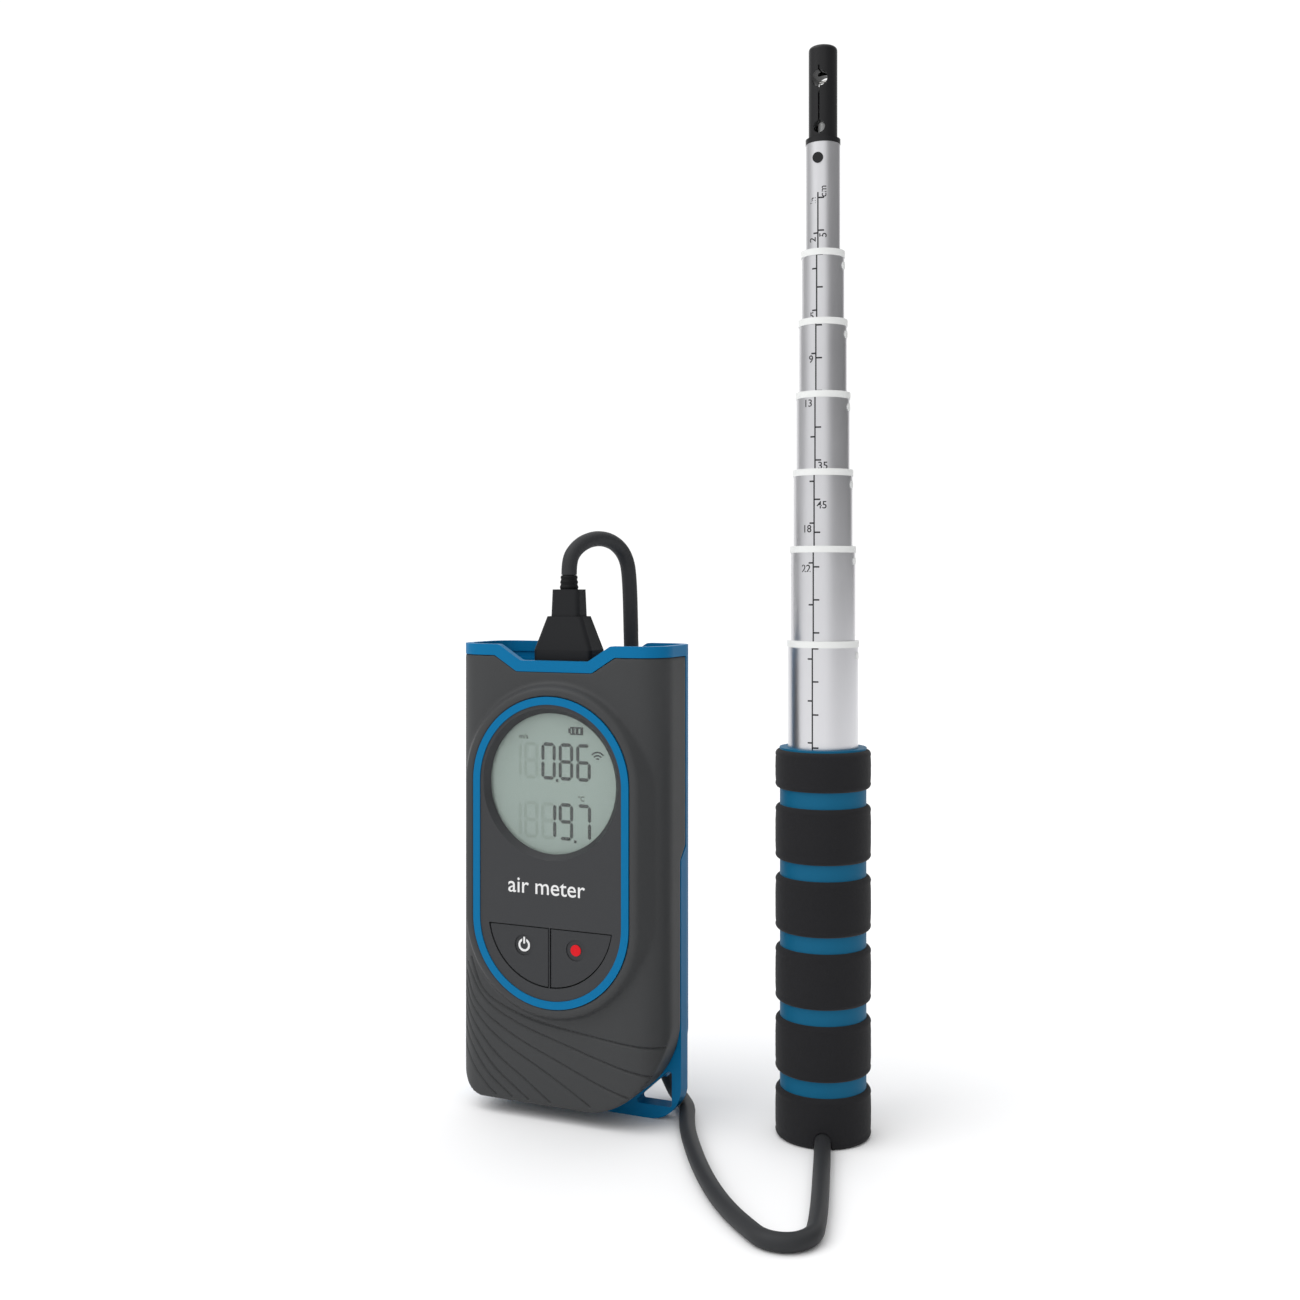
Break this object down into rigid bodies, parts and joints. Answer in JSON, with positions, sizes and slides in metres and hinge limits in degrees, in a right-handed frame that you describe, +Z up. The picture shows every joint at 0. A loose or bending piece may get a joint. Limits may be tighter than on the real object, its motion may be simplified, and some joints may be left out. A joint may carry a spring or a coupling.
{
  "type": "telescopic hot-wire thermo-anemometer",
  "caption": "Handheld weather meter: display case with two keys, and a telescopic hot-wire wand on a foam handle, joined by a cord.",
  "frame": {"origin": "on the floor, under the middle of the box around the case and the wand", "axes": "+X to the right as the display is read, from the case to the wand; +Y to the back; +Z up, along the wand"},
  "size_m": [0.1398, 0.1002, 0.3355],
  "materials": {
    "shell_charcoal": "soft-touch satin",
    "trim_blue": "satin",
    "panel_charcoal": "fine satin",
    "key_charcoal": "satin",
    "symbol_white": "printed",
    "symbol_red": "printed",
    "display_clear": "clear",
    "display_face": "reflective liquid crystal",
    "inner_plastic": "moulded",
    "contact_rubber": "layered",
    "board_green": "solder mask",
    "chip_black": "moulded",
    "contact_metal": "plated",
    "cell_label": "plain sleeve",
    "screw_steel": "plated",
    "cord_black": "matt",
    "plug_black": "fine spark texture",
    "foam_black": "closed-cell foam",
    "core_blue": "satin",
    "tube_aluminium": "satin anodised",
    "collar_white": "satin",
    "bush_plastic": "satin",
    "head_black": "satin",
    "sensor_metal": "plated"
  },
  "bodies": {
    "base": {"front_shell": "shell_charcoal", "back_shell": "trim_blue", "top_rim": "trim_blue", "accent_ring": "trim_blue", "front_panel": "panel_charcoal", "display_window": "display_clear", "lcd_module": "display_face", "lcd_holder": "inner_plastic", "contact_strips": "contact_rubber", "main_board": "board_green", "board_chips": "chip_black", "key_switches": "contact_metal", "probe_socket": "plug_black", "battery_tray": "inner_plastic", "batteries": "cell_label", "battery_contacts": "contact_metal", "case_screws": "screw_steel", "plug_hood": "plug_black", "plug_contact": "contact_metal", "plug_strain_relief": "plug_black", "wand_cord": "cord_black", "handle_core": "core_blue", "handle_base": "plug_black", "cord_gland": "plug_black", "outer_tube": "tube_aluminium", "grip_ring_1": "foam_black", "collar_0": "collar_white", "grip_ring_2": "foam_black", "grip_ring_3": "foam_black", "grip_ring_4": "foam_black", "grip_ring_5": "foam_black", "grip_ring_6": "foam_black"},
    "power_button": {"power_key": "key_charcoal", "power_symbol": "symbol_white"},
    "record_button": {"record_key": "key_charcoal", "record_dot": "symbol_red"},
    "cover": {"battery_cover": "trim_blue"},
    "stage_1": {"tube_1": "tube_aluminium", "guide_bush_1": "bush_plastic", "collar_1": "collar_white"},
    "stage_2": {"tube_2": "tube_aluminium", "guide_bush_2": "bush_plastic", "collar_2": "collar_white"},
    "stage_3": {"tube_3": "tube_aluminium", "guide_bush_3": "bush_plastic", "collar_3": "collar_white"},
    "stage_4": {"tube_4": "tube_aluminium", "guide_bush_4": "bush_plastic", "collar_4": "collar_white"},
    "stage_5": {"tube_5": "tube_aluminium", "guide_bush_5": "bush_plastic", "collar_5": "collar_white"},
    "stage_6": {"tube_6": "tube_aluminium", "guide_bush_6": "bush_plastic", "sensor_head": "head_black", "head_cap": "head_black", "sensor_carrier": "head_black", "hot_wire": "sensor_metal", "head_screw": "head_black"}
  },
  "joints": [
    {"name": "power_press", "type": "slide", "parent": "base", "child": "power_button", "axis": [0, 1, 0], "range_m": [0, 0.0006], "stiffness_N_per_m": 1500, "springref_m": -0.0002},
    {"name": "record_press", "type": "slide", "parent": "base", "child": "record_button", "axis": [0, 1, 0], "range_m": [0, 0.0006], "stiffness_N_per_m": 1500, "springref_m": -0.0002},
    {"name": "cover_lift", "type": "slide", "parent": "base", "child": "cover", "axis": [0, 1, 0], "range_m": [0, 0.0035]},
    {"name": "stage_1_slide", "type": "slide", "parent": "base", "child": "stage_1", "axis": [0, 0, 1], "range_m": [-0.0218, 0.0825]},
    {"name": "stage_2_slide", "type": "slide", "parent": "stage_1", "child": "stage_2", "axis": [0, 0, 1], "range_m": [-0.0163, 0.088]},
    {"name": "stage_3_slide", "type": "slide", "parent": "stage_2", "child": "stage_3", "axis": [0, 0, 1], "range_m": [-0.0166, 0.0877]},
    {"name": "stage_4_slide", "type": "slide", "parent": "stage_3", "child": "stage_4", "axis": [0, 0, 1], "range_m": [-0.0152, 0.0891]},
    {"name": "stage_5_slide", "type": "slide", "parent": "stage_4", "child": "stage_5", "axis": [0, 0, 1], "range_m": [-0.014, 0.0903]},
    {"name": "stage_6_slide", "type": "slide", "parent": "stage_5", "child": "stage_6", "axis": [0, 0, 1], "range_m": [-0.0258, 0.051]}
  ]
}
